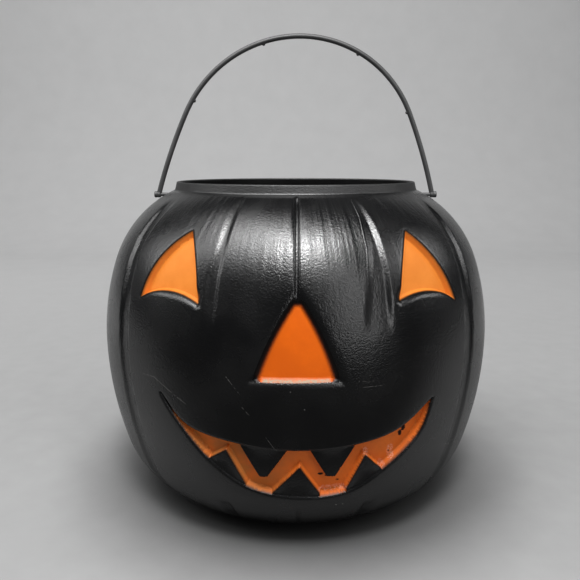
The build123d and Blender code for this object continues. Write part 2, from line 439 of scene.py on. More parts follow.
def nose_sink(points, height):
    """The nose's bevel and floor, with a rim that rolls off most below it."""
    fall = nose_fall(points)
    below = smooth(nose_corners[0][1] + 2.0, nose_corners[0][1] - 1.0, height)
    rim = roll(distance_to(nose_rim, points), nose_roll, nose_roll_depth) * (0.5 + 0.5 * below)
    floor = 0.5 * (fall + smooth(0.0, 1.0, fall))
    return rim * (1.0 - floor) + nose_depth * floor


def face_sink(points):
    """All recesses of the face. The mouth's floor lies below the step that its teeth stand on."""
    height = along(outer_path[:, 1], points[:, 1])
    lips = distance_to(smile, points)
    step = smooth(*lip_step, lips)
    depths = [eye_sink(outline, points, height) for outline in eye_outlines]
    depths.append(nose_sink(points, height))
    depths.append(roll(lips, lip_roll, lip_roll_depth) * (1.0 - step) + tooth_depth * step)
    floor = smooth(*mouth_wall, mouth_distance(points))
    return np.max(depths, axis=0) + (mouth_depth - tooth_depth) * floor


def sink(points):
    """Depth of the finished surface below the plain turned body, on the unrolled surface."""
    total = body_sink(points[:, 0] / unroll_radius, points[:, 1])
    face = np.abs(points[:, 0]) < radians(face_half_angle) * unroll_radius
    if face.any():
        total[face] = np.maximum(total[face], face_sink(points[face]))
    return total


def surface(points):
    """The finished surface at points of the unrolled one."""
    azimuth, t = points[:, 0] / unroll_radius, points[:, 1]
    depth = sink(points)
    radius = along(outer_path[:, 0], t) - depth * along(path_out[:, 0], t)
    z = along(outer_path[:, 1], t) - depth * along(path_out[:, 1], t)
    return np.column_stack((radius * np.sin(azimuth), -radius * np.cos(azimuth), z))


def surface_normals(points, step=0.06):
    """Normals of the finished surface, from small steps round it and down it."""
    s, t = points.T
    across = np.array((step, 0.0))
    above, below = (np.column_stack((s, np.clip(t + move, 0.0, t_end))) for move in (-step, step))
    du = surface(points + across) - surface(points - across)
    dv = surface(above) - surface(below)
    normal = np.cross(du, dv)
    return normal / np.maximum(np.linalg.norm(normal, axis=1), 1e-9)[:, None]


# Points that follow the edges of the face

def level_points(field, low, high, levels, pitch=0.3):
    """Points where a field crosses each level, found on a fine grid."""
    s = np.arange(low[0], high[0] + pitch, pitch)
    t = np.arange(low[1], high[1] + pitch, pitch)
    grid = np.array(np.meshgrid(s, t, indexing="ij"))
    value = field(grid.reshape(2, -1).T).reshape(grid.shape[1:])
    found = []
    for level in levels:
        for axis, first, second in ((0, value[:-1], value[1:]), (1, value[:, :-1], value[:, 1:])):
            i, j = np.nonzero((first - level) * (second - level) < 0.0)
            part = (level - first[i, j]) / (second[i, j] - first[i, j])
            spot = np.column_stack((s[i], t[j]))
            spot[:, axis] += part * pitch
            found.append(spot)
    return np.vstack(found)


def thinned(points, spacing):
    """Points that keep a distance from one another."""
    cells = {}
    result = []
    for p in points:
        i, j = int(p[0] // spacing), int(p[1] // spacing)
        close = [q for a in (i - 1, i, i + 1) for b in (j - 1, j, j + 1) for q in cells.get((a, b), ())]
        if all((p[0] - q[0]) ** 2 + (p[1] - q[1]) ** 2 >= spacing ** 2 for q in close):
            cells.setdefault((i, j), []).append(p)
            result.append(p)
    return np.array(result)


def outline_points(outline, margin, levels):
    return level_points(partial(signed_distance, outline), *box_of(outline, margin), levels)


# Distances from each outline, and shares of the nose's fall, that get a line of points of their own
eye_levels = (0.1, -0.3, -0.7, -1.1, 0.6, -1.6, 1.3, 2.2, 3.4, -2.4)
fall_levels = (0.06, 0.94, 0.5, 0.25, 0.75)
lip_levels = (0.0, -0.5, 0.6, 1.2, 1.9)
mouth_levels = (0.1, -0.15, -0.4, -0.65, -0.9, 0.5, 1.2, 2.2, -1.5, -2.3)
nose_rim_levels = (0.5, 1.2, 2.2)
nose_floor_levels = (-0.8, -2.0)
edge_spacing = 0.42

edge_points = thinned(np.vstack((
    corner_points,
    *(outline_points(outline, 4.0, eye_levels) for outline in eye_outlines),
    level_points(mouth_distance, *box_of(smile, 1.0), mouth_levels),
    outline_points(smile, 2.5, lip_levels),
    level_points(nose_fall, *box_of(nose_rim, 1.0), fall_levels),
    outline_points(nose_rim, 3.0, nose_rim_levels),
    outline_points(nose_floor, 0.0, nose_floor_levels),
)), edge_spacing)


# Rows and columns of the shell's grid

def filled(marks, gap):
    """Marks in order, with even steps added wherever two lie more than a gap apart."""
    marks = sorted(marks)
    result = [marks[0]]
    for mark in marks[1:]:
        if mark - result[-1] < 0.2:
            continue
        count = int(np.ceil((mark - result[-1]) / gap))
        result += list(np.linspace(result[-1], mark, count + 1)[1:])
    return np.array(result)


crease_steps = (-1.1, -0.7, -0.35, 0.0, 0.35, 0.7, 1.1)
valley_steps = np.arange(18.4, 24.8, 0.4)
marks = [-180.0 + step for step in crease_steps if step >= 0]
marks += [180.0 + step for step in crease_steps if step < 0]
marks += [front_crease.azimuths[0] + step for step in crease_steps]
marks += [-face_half_angle, face_half_angle]
marks += [*valley_steps, *-valley_steps]
marks += [*np.arange(1.7, face_half_angle, 0.8), *-np.arange(2.1, face_half_angle, 0.8)]
columns = np.radians(filled(marks + [180.0], 1.2)[:-1])
row_marks = [0.0, 1.2, 2.2, 3.0, 3.5, 4.0, 4.5, 5.2, face_top, 7.0, 8.5, t_end, t_end - 3.0, t_end - 6.0]
rows = filled(row_marks, 2.1)

first_column = int(np.argmin(np.abs(columns + radians(face_half_angle))))
last_column = int(np.argmin(np.abs(columns - radians(face_half_angle))))
first_row = int(np.argmin(np.abs(rows - face_top)))
last_row = int(np.argmin(np.abs(rows - t_at(face_foot_height))))
column_count = len(columns)


class Builder:
    """Collects the vertices, normals and faces of one mesh."""

    def __init__(self):
        self.points, self.normals, self.faces = [], [], []
        self.count = 0

    def add(self, points, normals=None):
        first = self.count
        self.points.append(points)
        self.normals.append(normals)
        self.count += len(points)
        return np.arange(first, self.count)

    def rings(self, one, two):
        """Quads between two closed rings of vertices, facing out where the second is the lower."""
        after_one, after_two = np.roll(one, -1), np.roll(two, -1)
        self.faces += [(a, d, c, b) for a, b, c, d in zip(one, after_one, after_two, two)]

    def onward(self, ring, rings, flipped):
        """Joins a ring to each of those that follow it, and returns the last one."""
        for after in rings:
            if flipped:
                self.rings(after, ring)
            else:
                self.rings(ring, after)
            ring = after
        return ring

    def tube(self, rings, flipped):
        """Joins a row of rings and closes both ends."""
        self.onward(rings[0], rings[1:], flipped)
        self.faces += [tuple(rings[0]), tuple(rings[-1][::-1])]


def make_mesh(name, points, faces, normals=None):
    mesh = bpy.data.meshes.new(name)
    mesh.from_pydata((np.asarray(points) * MM).tolist(), [], [list(map(int, face)) for face in faces])
    mesh.polygons.foreach_set("use_smooth", np.ones(len(mesh.polygons), bool))
    if normals is not None:
        mesh.normals_split_custom_set_from_vertices(normals.tolist())
    mesh.update()
    piece = bpy.data.objects.new(name, mesh)
    scene.collection.objects.link(piece)
    return piece


# Shell: outer grid, with the face drawn by triangles along its edges

shell = Builder()
grid_t, grid_s = np.meshgrid(rows, columns * unroll_radius, indexing="ij")
grid_points = np.column_stack((grid_s.ravel(), grid_t.ravel()))
cells = np.arange(len(grid_points)).reshape(len(rows), column_count)
in_face = np.zeros(len(grid_points), bool)
in_face[cells[first_row + 1:last_row, first_column + 1:last_column]] = True
# Grid points this far outside and inside an outline give way to the edge points
bands = [(outline, 4.2, -3.2) for outline in eye_outlines] + [(nose_rim, 3.0, -6.5), (smile, 2.7, -99.0)]
crowded = np.zeros(len(grid_points), bool)
for outline, outside, inside in bands:
    gap = distance_to(outline, grid_points)
    crowded |= (gap < outside) & (gap > inside)
crowded &= in_face
index = np.full(len(grid_points), -1)
index[~crowded] = shell.add(surface(grid_points[~crowded]), surface_normals(grid_points[~crowded]))

grid_index = index.reshape(len(rows), column_count)
for j in range(len(rows) - 1):
    for i in range(column_count):
        k = (i + 1) % column_count
        if first_row <= j < last_row and first_column <= i < last_column:
            continue
        above, below = grid_index[j], grid_index[j + 1]
        shell.faces.append((above[i], below[i], below[k], above[k]))

border = np.concatenate((
    cells[first_row, first_column:last_column], cells[first_row:last_row, last_column],
    cells[last_row, last_column:first_column:-1], cells[last_row:first_row:-1, first_column],
))
inner_cells = np.nonzero(in_face & ~crowded)[0]
flat_points = np.vstack((grid_points[border], grid_points[inner_cells], edge_points))
edge_index = shell.add(surface(edge_points), surface_normals(edge_points))
flat_index = np.concatenate((index[border], index[inner_cells], edge_index))
border_edges = [(i, (i + 1) % len(border)) for i in range(len(border))]
flat = delaunay_2d_cdt([Vector(p) for p in flat_points], border_edges, [], 1, 1e-6)
origin = np.array([sources[0] for sources in flat[3]])
face_triangles = origin[np.array(flat[2])]
a, b, c = (flat_points[face_triangles[:, k]] for k in (0, 1, 2))
turned = np.cross(b - a, c - a) > 0
face_triangles[turned] = face_triangles[turned][:, (0, 2, 1)]
shell.faces += [tuple(triangle) for triangle in flat_index[face_triangles]]


# Shell: rim, inside and base, in rings that share the grid's columns

def ring_at(radius, z, normal_radius, normal_z, depth=0.0):
    """A ring of vertices round the axis, sunk by a depth that may differ at each column."""
    depth = np.broadcast_to(depth, columns.shape)
    r = radius - depth * normal_radius
    across, ahead = np.sin(columns), -np.cos(columns)
    points = np.column_stack((r * across, r * ahead, z - depth * normal_z))
    up = np.full(column_count, normal_z)
    normals = np.column_stack((normal_radius * across, normal_radius * ahead, up))
    return shell.add(points, normals)


inner_path = np.vstack((np.linspace((rim_radius - wall, rim_height - rim_rounding),
                                    point_on(shoulder, shoulder.last, wall), 5)[:-1], side_path(wall)))
inner_run = np.concatenate(([0.0], np.cumsum(np.hypot(*np.diff(inner_path, axis=0).T))))
inner_slope = np.gradient(inner_path, axis=0)
inner_slope /= np.hypot(*inner_slope.T)[:, None]
inner_foot = inner_path[-1]
foot_inner = foot_radius - foot_width
dome_radius = (foot_inner ** 2 + base_rise ** 2) / (2.0 * base_rise)
dome_steps = (42.0, 33.0, 22.0, 11.0, 3.0)
recesses = [(outline, eye_depth) for outline in eye_outlines]
recesses += [(nose_rim, nose_depth), (smile, mouth_depth)]


def rim_ring(angle):
    across, up = cos(radians(angle)), sin(radians(angle))
    middle = rim_radius - wall / 2.0
    return ring_at(middle + across * wall / 2.0, rim_height - rim_rounding * (1.0 - up), across, up)


def inner_ring(run):
    """A ring of the inside, which bulges behind the channels and the recesses of the face."""
    r, z = (np.interp(run, inner_run, inner_path[:, k]) for k in (0, 1))
    slope_r, slope_z = (np.interp(run, inner_run, inner_slope[:, k]) for k in (0, 1))
    t = np.full(column_count, t_at(min(z, rim_height - rim_rounding)))
    spots = np.column_stack((columns * unroll_radius, t))
    behind = body_sink(columns, t)
    for outline, depth in recesses:
        behind = np.maximum(behind, depth * smooth(*bulge_reach, distance_to(outline, spots)))
    return ring_at(r, z, slope_z, -slope_r, -behind)


def floor_ring(radius):
    return ring_at(radius, inner_foot[1], 0.0, 1.0)


def dome_height(radius):
    return base_rise - dome_radius + sqrt(dome_radius ** 2 - radius ** 2)


def dome_ring(lift, side, radius):
    return ring_at(radius, dome_height(radius) + lift, side * radius / dome_radius, side)


def foot_ring(radius):
    height = 0.0 if radius > foot_inner else dome_height(radius)
    return ring_at(radius, height, 0.0, -1.0)


ring = shell.onward(grid_index[0], map(rim_ring, np.linspace(20.0, 160.0, 8)), True)
ring = shell.onward(ring, map(inner_ring, np.linspace(0.0, inner_run[-1], 44)), True)
ring = shell.onward(ring, map(floor_ring, np.linspace(inner_foot[0] - 3.0, foot_inner, 3)), True)
ring = shell.onward(ring, map(partial(dome_ring, wall, 1.0), dome_steps), True)
shell.faces.append(tuple(ring[::-1]))
foot_steps = (foot_radius - 1.0, foot_radius - 4.0, foot_inner + 0.4, foot_inner - 0.6)
ring = shell.onward(grid_index[-1], map(foot_ring, foot_steps), False)
ring = shell.onward(ring, map(partial(dome_ring, 0.0, -1.0), dome_steps), False)
shell.faces.append(tuple(ring))
shell_points = np.vstack(shell.points)
shell_normals = np.vstack(shell.normals)
pail_shell = make_mesh("shell", shell_points, shell.faces, shell_normals)


# Paint films: the shell's own triangles, lifted a little and closed behind

def paint_film(name, distance, limit, cover, painted_highlight):
    """A thin closed film over the triangles whose middle lies within a limit of an outline."""
    middles = flat_points[face_triangles].mean(1)
    chosen = face_triangles[distance(middles) < limit]
    used = np.unique(chosen)
    local = np.full(len(flat_points), -1)
    local[used] = np.arange(len(used))
    chosen = local[chosen]
    normals = shell_normals[flat_index[used]]
    base = shell_points[flat_index[used]]
    top, back = base + normals * film_lift, base + normals * film_back
    edges = {edge: True for a, b, c in chosen for edge in ((a, b), (b, c), (c, a))}
    rim = [(a, b) for a, b in edges if (b, a) not in edges]
    count = len(used)
    faces = [tuple(f) for f in chosen] + [(a + count, c + count, b + count) for a, b, c in chosen]
    faces += [(b, a, a + count, b + count) for a, b in rim]
    piece = make_mesh(name, np.vstack((top, back)), faces, np.vstack((normals, -normals)))
    # The second attribute holds the share of painted highlight.
    for label, values in (("cover", cover), ("painted_highlight", painted_highlight)):
        layer = piece.data.attributes.new(label, "FLOAT", "POINT")
        layer.data.foreach_set("value", np.tile(values[used], 2).astype(np.float32))
    return piece


nose_foot = nose_floor[:, 1].max()
nose_left, nose_right = nose_floor[:, 0].min(), nose_floor[:, 0].max()


def nose_fields(points):
    """Distance from the nose's paint, which takes in the ledge below its floor, and the share of the
    painted highlight on the ledge.
    """
    gap = distance_to(nose_floor, points)
    within = np.minimum(points[:, 0] - nose_left, nose_right - points[:, 0])
    in_rim = distance_to(nose_rim, points) < ledge_margin
    on_ledge = (points[:, 1] > nose_foot - 0.6) & in_rim & (within > ledge_margin)
    # Painted highlight: a pale cream share at the top of the ledge, fading towards the ledge's ends.
    pale = smooth(nose_foot - 0.4, nose_foot + 0.6, points[:, 1])
    pale *= smooth(ledge_margin, ledge_highlight_fade, within)
    return np.where(on_ledge, np.minimum(gap, ledge_margin - within), gap), np.where(on_ledge, pale, 0.0)


def nose_film(points):
    """Distance from the nose's paint for what lies inside the nose's rim."""
    return np.where(distance_to(nose_rim, points) < ledge_margin, nose_fields(points)[0], far_away)


flat_x = shell_points[flat_index][:, 0]
plain = np.zeros(len(flat_points))
films = {}
for name, outline in zip(("left_eye_paint", "right_eye_paint"), eye_outlines):
    cover = smooth(*eye_spray, distance_to(outline, flat_points))
    films[name] = paint_film(name, partial(distance_to, outline), eye_film_reach, cover, plain)
# The nose's film carries the painted highlight of its ledge.
gap, ledge_highlight = nose_fields(flat_points)
cover = smooth(*nose_spray, gap)
films["nose_paint"] = paint_film("nose_paint", nose_film, nose_film_reach, cover, ledge_highlight)
ends = (smooth(mouth_paint_left - 1.2, mouth_paint_left + 2.0, flat_x)
        * smooth(mouth_paint_right + 1.0, mouth_paint_right - 1.0, flat_x))
cover = smooth(*mouth_spray, mouth_distance(flat_points)) * ends
films["mouth_paint"] = paint_film("mouth_paint", mouth_distance, mouth_film_reach, cover, plain)


# Handle: a moulded rod with gate nubs, and a knob, pin and barb on each end

def radius_at(arc, height, inset=0.0):
    return arc.centre[0] + sqrt((arc.radius - inset) ** 2 - (height - arc.centre[1]) ** 2)


pivot_height = rim_height - pivot_drop
knob_face = radius_at(shoulder, pivot_height - knob_radius) + knob_gap
barb_face = radius_at(shoulder, pivot_height + barb_radius, wall) - barb_gap
rod_foot = (knob_face + rod_setback, pivot_height)
arch_centre = (0.0, pivot_height + bail_lift)
crown = SideArc(arch_centre, rod_foot[0] - bail_tuck, 90.0, 90.0 - bail_arch_half_angle)
leg = arc_onward(crown, rod_foot)


def handle_path():
    """Points along the rod from its right foot to its left, with the angle that faces out of the arch."""
    angles = filled(np.linspace(leg.last, leg.first, 40), 3.0)
    right = [(point_on(leg, angle), angle) for angle in angles if angle < leg.first - 1e-6]
    marks = [crown.last, 180.0 - crown.last]
    for nub in nub_angles:
        marks += list(90.0 - nub + np.linspace(-1.1, 1.1, 17))
    arch = [(point_on(crown, angle), angle) for angle in filled(marks, 2.0)
            if abs(angle - 90.0) <= bail_arch_half_angle + 1e-6]
    left = [((-p[0], p[1]), 180.0 - angle) for p, angle in reversed(right)]
    return right + arch + left


def add_bail(handle):
    """The bent rod, with its gate nubs on the inner side of the arch."""
    rings = []
    around = np.radians(np.arange(0.0, 360.0, 15.0))
    for middle, angle in handle_path():
        out = np.array((cos(radians(angle)), 0.0, sin(radians(angle))))
        side = np.array((0.0, 1.0, 0.0))
        radius = rod_radius - 0.05 + 0.05 * np.cos(around * 2.0) ** 8
        on_crown = middle[1] > point_on(crown, crown.last)[1] - 0.5
        for nub in nub_angles:
            gap = abs(angle - 90.0 + nub) * pi / 180.0 * crown.radius
            if on_crown and gap < 2.0:
                facing = np.arccos(np.clip(-np.cos(around), -1.0, 1.0)) * rod_radius
                away = np.hypot(gap, facing)
                radius = radius + nub_height * smooth(nub_radius + 0.25, nub_radius - 0.3, away)
        spoke = np.cos(around)[:, None] * out + np.sin(around)[:, None] * side
        lean = handle_lean * (middle[1] - pivot_height) / (arch_centre[1] + crown.radius - pivot_height)
        centre = np.array((middle[0] + lean, 0.0, middle[1]))
        rings.append(handle.add(centre + spoke * radius[:, None]))
    handle.tube(rings, True)


def add_end(handle, side):
    """The knob, pin and barb of one end, turned about the pivot axis."""
    ease = 0.3
    knob_end = knob_face + knob_length
    seam = knob_face + knob_seam
    barb_end = barb_face - barb_length
    profile = [
        (knob_end, 0.0), (knob_end, knob_radius - 2 * ease),
        (knob_end - ease * 0.3, knob_radius - ease * 0.6), (knob_end - ease, knob_radius),
        (seam + seam_half_width, knob_radius), (seam, knob_radius - seam_depth),
        (seam - seam_half_width, knob_radius), (knob_face + ease, knob_radius),
        (knob_face, knob_radius - ease), (knob_face, pin_radius),
        (barb_face, pin_radius), (barb_face, barb_radius - 0.15),
        (barb_face - 0.2, barb_radius), (barb_end + 0.3, barb_tip_radius + 0.1),
        (barb_end, barb_tip_radius - 0.2), (barb_end, 0.0),
    ]
    around = np.radians(np.arange(0.0, 360.0, 12.0))
    rings = []
    for x, radius in profile:
        radius = max(radius, 1e-3)
        points = np.column_stack((np.full(len(around), side * x), radius * np.cos(around) * side,
                                  pivot_height + radius * np.sin(around)))
        rings.append(handle.add(points))
    handle.tube(rings, False)


handle = Builder()
add_bail(handle)
for side in (1, -1):
    add_end(handle, side)
bail_handle = make_mesh("handle", np.vstack(handle.points), handle.faces)
bail_handle.data.set_sharp_from_angle(angle=radians(40.0))


# Materials

class Nodes:
    """Node tree of a material or world, with short calls for its nodes."""

    def __init__(self, owner):
        owner.use_nodes = True
        self.owner, self.tree = owner, owner.node_tree
        self.spots = self.add("TexCoord").outputs["Object"]
        self.x, self.y, self.z = self.add("SeparateXYZ", {"Vector": self.spots}).outputs

    def add(self, kind, inputs=None, **settings):
        node = self.tree.nodes.new("ShaderNode" + kind)
        for key, value in settings.items():
            setattr(node, key, value)
        return self.fill(node, inputs or {})

    def fill(self, node, inputs):
        """Sets or links a node's inputs, and leaves those with None as they are."""
        for key, value in inputs.items():
            if isinstance(value, bpy.types.NodeSocket):
                self.tree.links.new(value, node.inputs[key])
            elif value is not None:
                node.inputs[key].default_value = value
        return node

    def math(self, operation, *values):
        return self.add("Math", dict(enumerate(values)), operation=operation).outputs[0]

    def vector(self, operation, *values):
        return self.add("VectorMath", dict(enumerate(values)), operation=operation).outputs

    times = partialmethod(math, "MULTIPLY")
    plus = partialmethod(math, "ADD")
    minus = partialmethod(math, "SUBTRACT")
    larger = partialmethod(math, "MAXIMUM")

    def between(self, value, low, high, start=0.0, end=1.0):
        """A smooth step that goes from start at low to end at high."""
        inputs = {"Value": value, "From Min": low, "From Max": high, "To Min": start, "To Max": end}
        return self.add("MapRange", inputs, interpolation_type="SMOOTHSTEP").outputs["Result"]

    def mix(self, share, one, two):
        return self.add("Mix", {"Factor": share, "A": one, "B": two}, data_type="RGBA").outputs["Result"]

    def noise(self, scale, detail=2.0, roughness=0.5, spots=None):
        inputs = {"Vector": spots or self.spots, "Scale": scale, "Detail": detail, "Roughness": roughness}
        return self.add("TexNoise", inputs).outputs["Fac"]

    def bump(self, height, strength, distance, normal=None):
        inputs = {"Height": height, "Strength": strength, "Distance": distance, "Normal": normal}
        return self.add("Bump", inputs).outputs["Normal"]

    def finished(self, base, roughness, specular, normal=None):
        """The material, with what its shader needs."""
        inputs = {"Base Color": base, "Roughness": roughness, "Specular IOR Level": specular}
        self.fill(self.tree.nodes["Principled BSDF"], {**inputs, "Normal": normal})
        return self.owner


def material_nodes(name):
    return Nodes(bpy.data.materials.new(name))


def colour(red, green, blue):
    return (red, green, blue, 1.0)


def grey(level):
    return colour(level, level, level)


def line_mask(nodes, start, end, width):
    """A thin line on the front of the pail, between two points seen from the front."""
    x0, z0 = start
    run_x, run_z = end[0] - x0, end[1] - z0
    run2 = run_x ** 2 + run_z ** 2
    dx, dz = nodes.minus(nodes.x, x0 * MM), nodes.minus(nodes.z, z0 * MM)
    dot = nodes.plus(nodes.times(dx, run_x / (run2 * MM)), nodes.times(dz, run_z / (run2 * MM)))
    part = nodes.math("MINIMUM", nodes.larger(dot, 0.0), 1.0)
    gap_x = nodes.minus(dx, nodes.times(part, run_x * MM))
    gap_z = nodes.minus(dz, nodes.times(part, run_z * MM))
    gap = nodes.math("SQRT", nodes.plus(nodes.times(gap_x, gap_x), nodes.times(gap_z, gap_z)))
    return nodes.between(gap, width * MM, width * 0.3 * MM)


# Scratches on the front: both ends, seen from the front, and width
scratches = (
    ((-72, 86), (-66, 86.2), 0.22), ((-66, 86.2), (-50, 77), 0.2),
    ((-31, 93), (-25.5, 86), 0.16), ((-24.5, 80), (-21, 76), 0.18),
    ((-14, 66), (-9, 58.5), 0.14), ((28, 88.2), (37, 88), 0.14),
    ((26, 91), (33, 90.6), 0.12),
)

# Thin mould ridges along the middle lobe, seen from the front
ridges = (
    ((25.4, 165.5), (28, 159)), ((28, 159), (30.2, 146)), ((30.2, 146), (30.3, 131)),
)
ridge_width = 0.55


def black_base(nodes, dark, light, polished, dull):
    """Colour and roughness of black plastic, both a little clouded."""
    cloud = nodes.noise(38.0, 3.0)
    base = nodes.mix(nodes.between(cloud, 0.35, 0.7), dark, light)
    return base, nodes.between(cloud, 0.3, 0.72, polished, dull)


def pebbles(nodes):
    return nodes.noise(1200.0, 2.0, 0.6)


def shell_wear(nodes, front):
    """Share of pale specks in dusty patches, and of broken scratches on the front."""
    cells = nodes.add("TexVoronoi", {"Vector": nodes.spots, "Scale": 330.0})
    chance = nodes.add("SeparateColor", {"Color": cells.outputs["Color"]}).outputs[0]
    speck = nodes.times(nodes.between(cells.outputs["Distance"], 0.13, 0.06),
                        nodes.math("GREATER_THAN", chance, 0.955))
    dusty = nodes.between(nodes.noise(30.0), 0.5, 0.68)
    wear = nodes.times(nodes.times(speck, dusty), 0.7)
    broken = nodes.between(nodes.noise(700.0, 1.0), 0.38, 0.56)
    for scratch in scratches:
        line = nodes.times(line_mask(nodes, *scratch), front)
        wear = nodes.larger(wear, nodes.times(nodes.times(line, broken), 0.22))
    return wear


def shell_relief(nodes, front, neck):
    """Fine relief of the shell: ridges, upright streaks below the neck, orange peel and pebbles."""
    raised = 0.0
    for start, end in ridges:
        raised = nodes.larger(raised, line_mask(nodes, start, end, ridge_width))
    azimuth = nodes.math("ARCTAN2", nodes.x, nodes.times(nodes.y, -1.0))
    flutes = nodes.add("CombineXYZ", {"X": nodes.times(azimuth, 27.0), "Y": nodes.times(nodes.z, 16.0)})
    streak = nodes.noise(1.0, 2.0, 0.45, flutes.outputs["Vector"])
    upper = nodes.times(nodes.between(nodes.z, 0.110, 0.158), nodes.between(nodes.z, 0.1685, 0.1665))
    turned = nodes.math("ABSOLUTE", azimuth)
    upper = nodes.times(upper, nodes.between(turned, radians(20.0), radians(42.0), 1.0, 0.3))
    calm = nodes.larger(nodes.between(nodes.z, 0.168, 0.156, 0.25, 1.0), neck)
    pebble = nodes.times(pebbles(nodes), nodes.plus(calm, nodes.times(neck, 0.3)))
    normal = nodes.bump(nodes.times(raised, front), 1.0, 0.0003)
    normal = nodes.bump(nodes.times(streak, upper), 0.52, 0.0008, normal)
    normal = nodes.bump(nodes.times(nodes.noise(640.0), calm), 0.22, 0.0002, normal)
    return nodes.bump(pebble, 0.55, 0.00028, normal)


def shell_plastic():
    nodes = material_nodes("shell_black")
    front = nodes.between(nodes.y, -0.02, -0.06)
    neck = nodes.between(nodes.z, (neck_base[1] - 0.2) * MM, (neck_base[1] + 0.6) * MM)
    dark, light = colour(0.0022, 0.0022, 0.0024), colour(0.004, 0.004, 0.0042)
    base, rough = black_base(nodes, dark, light, 0.22, 0.31)
    wear = shell_wear(nodes, front)
    base = nodes.mix(wear, base, colour(0.38, 0.37, 0.35))
    rough = nodes.plus(nodes.plus(rough, nodes.times(wear, 0.3)), nodes.times(neck, 0.25))
    return nodes.finished(base, rough, 1.0, shell_relief(nodes, front, neck))


def handle_plastic():
    nodes = material_nodes("handle_black")
    dark, light = colour(0.036, 0.036, 0.037), colour(0.05, 0.05, 0.051)
    base, rough = black_base(nodes, dark, light, 0.48, 0.58)
    drawn = nodes.add("Mapping", {"Vector": nodes.spots, "Scale": (300.0, 900.0, 300.0)})
    normal = nodes.bump(nodes.noise(1.0, spots=drawn.outputs["Vector"]), 0.15, 0.0002)
    return nodes.finished(base, rough, 1.0, nodes.bump(pebbles(nodes), 0.2, 0.0001, normal))


def patch(nodes, speckle, centre, size, squeeze):
    """1 inside a ragged patch and 0 outside it."""
    away = nodes.vector("SUBTRACT", nodes.spots, tuple(c * MM for c in centre))[0]
    spread = nodes.vector("MULTIPLY", away, squeeze)[0]
    length = nodes.vector("LENGTH", spread)["Value"]
    ragged = nodes.plus(length, nodes.times(nodes.minus(speckle, 0.5), size * 1.1 * MM))
    return nodes.between(ragged, size * 1.05 * MM, size * 0.75 * MM)


def orange_paint(name, fresh, thin, bare=(), pale=(), tan=None):
    """Sprayed paint that thins out at its edge, with bare chips, pale scuffs, a tan left side and a
    painted highlight in pale cream.
    """
    nodes = material_nodes(name)
    layers = (nodes.add("Attribute", attribute_name=label) for label in ("cover", "painted_highlight"))
    cover, painted_highlight = (layer.outputs["Fac"] for layer in layers)
    grain = nodes.noise(2200.0, 2.0, 0.6)
    cloud = nodes.noise(90.0, 3.0)
    speckle = nodes.noise(900.0)
    sprayed = nodes.plus(cover, nodes.times(nodes.minus(grain, 0.5), 0.35))
    share = nodes.between(sprayed, 0.12, 0.88)
    hue = nodes.mix(nodes.between(cloud, 0.3, 0.7), fresh, thin)
    hue = nodes.mix(nodes.times(nodes.between(speckle, 0.45, 0.75), 0.25), hue, thin)
    # Painted highlight: where the second attribute is set, on the nose's ledge, the paint turns pale
    # cream, standing in for the overhead light that the ledge catches.
    highlight_share = nodes.times(painted_highlight, nodes.between(speckle, 0.36, 0.62, 0.55, 0.95))
    hue = nodes.mix(highlight_share, hue, colour(0.37, 0.34, 0.25))
    if tan:
        left = nodes.between(nodes.x, 0.006, -0.022, 0.0, 0.85)
        hue = nodes.mix(nodes.times(left, nodes.between(cloud, 0.25, 0.6)), hue, tan)
    for scuff in pale:
        rubbed = nodes.times(patch(nodes, speckle, *scuff), nodes.between(grain, 0.42, 0.70, 0.0, 0.6))
        hue = nodes.mix(rubbed, hue, colour(0.86, 0.56, 0.46))
    for chip in bare:
        share = nodes.minus(share, patch(nodes, speckle, *chip))
    share = nodes.larger(share, 0.0)
    base = nodes.mix(share, colour(0.004, 0.004, 0.0042), hue)
    rough = nodes.between(share, 0.0, 1.0, 0.36, 0.52)
    normal = nodes.bump(grain, 0.25, 0.00008)
    return nodes.finished(base, rough, 0.22, nodes.bump(nodes.noise(420.0), 0.2, 0.00025, normal))


# Bare chips and pale scuffs in the mouth's paint: place, size and how it is squeezed along each axis
chips = (
    ((47.4, -92.5, 60.6), 1.3, (1.2, 0.2, 0.7)),
    ((49.0, -91.5, 63.2), 1.4, (1.2, 0.2, 0.7)),
    ((42.5, -95.0, 52.0), 1.1, (1.3, 0.2, 0.8)),
    ((10.6, -101.0, 44.2), 1.3, (0.8, 0.2, 1.5)),
    ((13.2, -101.0, 43.2), 1.1, (0.8, 0.2, 1.5)),
    ((18.5, -100.0, 40.2), 1.2, (0.8, 0.2, 1.5)),
)
scuffs = (
    ((38.5, -96.0, 46.5), 2.2, (1.1, 0.2, 0.8)),
    ((43.0, -94.0, 52.0), 2.6, (1.4, 0.2, 0.6)),
    ((30.9, -97.0, 54.6), 1.6, (1.0, 0.2, 0.8)),
    ((14.0, -100.0, 36.2), 2.6, (0.5, 0.2, 1.6)),
    ((20.0, -99.0, 36.6), 2.2, (0.5, 0.2, 1.6)),
)
eye_orange = orange_paint("eye_paint", colour(0.79, 0.245, 0.033), colour(0.72, 0.21, 0.024))
nose_orange = orange_paint("nose_paint", colour(0.77, 0.127, 0.001), colour(0.69, 0.11, 0.001))
mouth_orange = orange_paint("mouth_paint", colour(0.76, 0.17, 0.021), colour(0.64, 0.14, 0.019),
                            chips, scuffs, colour(0.46, 0.16, 0.035))
shell_black = shell_plastic()
handle_black = handle_plastic()

dressed = [
    (pail_shell, "pail", "pail_shell", "black_shell", shell_black),
    (bail_handle, "bail", "bail_handle", "black_handle", handle_black),
]
oranges = (eye_orange, eye_orange, nose_orange, mouth_orange)
dressed += [(films[name], "pail", name, "orange_paint", orange) for name, orange in zip(films, oranges)]
for piece, body, node_name, slot, material in dressed:
    piece.name = node_name + "_look"
    piece.data.materials.append(material)
    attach(piece, body)
    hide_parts(node_name)


# Stage: a pale sheet that lies under the pail and sweeps up behind it

